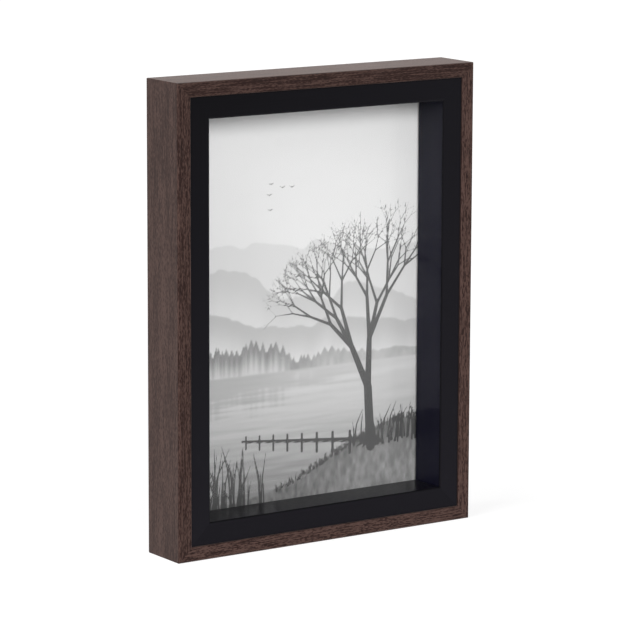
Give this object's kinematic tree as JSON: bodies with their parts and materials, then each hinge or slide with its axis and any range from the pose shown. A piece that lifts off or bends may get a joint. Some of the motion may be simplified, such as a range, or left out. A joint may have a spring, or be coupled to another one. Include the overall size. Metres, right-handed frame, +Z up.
{
  "type": "box picture frame",
  "caption": "Deep wood-faced box picture frame with a black inner slip, glass, back panel under turn buttons and a fold-out easel strut.",
  "frame": {"origin": "centre of the moulding's flat bottom face, on which the frame stands upright", "axes": "+Z up, +X to the right seen from the front, +Y from the front to the back"},
  "size_m": [0.1506, 0.0291, 0.2016],
  "materials": {
    "moulding": "walnut-coloured fine-grained wrap, satin",
    "slip": "black lacquer, satin",
    "glass": "clear polished float glass",
    "print": "matt black-and-white print",
    "card": "plain grey board",
    "back_board": "black faced fibreboard with brown edges",
    "zinc_steel": "zinc plated",
    "hinge_steel": "nickel plated, brushed",
    "brass_plate": "brass plated"
  },
  "bodies": {
    "frame": {"outer_rail_top": "moulding", "outer_rail_bottom": "moulding", "outer_rail_left": "moulding", "outer_rail_right": "moulding", "slip_top": "slip", "slip_bottom": "slip", "slip_left": "slip", "slip_right": "slip", "corner_wedges": "zinc_steel", "glass_pane": "glass", "photo_print": "print", "backing_card": "card", "back_panel": "back_board", "turn_button_screws": "brass_plate", "hanger_portrait": "zinc_steel", "hanger_landscape": "zinc_steel", "hanger_nails": "brass_plate", "hinge_leaf_fixed": "hinge_steel", "hinge_pin": "hinge_steel", "panel_rivets": "hinge_steel"},
    "turn_button_top_left": {"turn_button_top_left": "zinc_steel"},
    "turn_button_top_right": {"turn_button_top_right": "zinc_steel"},
    "turn_button_bottom_left": {"turn_button_bottom_left": "zinc_steel"},
    "turn_button_bottom_right": {"turn_button_bottom_right": "zinc_steel"},
    "strut": {"easel_strut": "back_board", "hinge_leaf_strut": "hinge_steel", "strut_rivets": "hinge_steel"}
  },
  "joints": [
    {"name": "turn_button_top_left_spin", "type": "hinge", "parent": "frame", "child": "turn_button_top_left", "pos_m": [-0.0696, 0.01295, 0.1528], "axis": [0, 1, 0], "continuous": true},
    {"name": "turn_button_top_right_spin", "type": "hinge", "parent": "frame", "child": "turn_button_top_right", "pos_m": [0.0696, 0.01295, 0.1528], "axis": [0, 1, 0], "continuous": true},
    {"name": "turn_button_bottom_left_spin", "type": "hinge", "parent": "frame", "child": "turn_button_bottom_left", "pos_m": [-0.0696, 0.01295, 0.0488], "axis": [0, 1, 0], "continuous": true},
    {"name": "turn_button_bottom_right_spin", "type": "hinge", "parent": "frame", "child": "turn_button_bottom_right", "pos_m": [0.0696, 0.01295, 0.0488], "axis": [0, 1, 0], "continuous": true},
    {"name": "strut_hinge", "type": "hinge", "parent": "frame", "child": "strut", "pos_m": [0, 0.01425, 0.13], "axis": [1, 0, 0], "range_deg": [0, 25]}
  ]
}
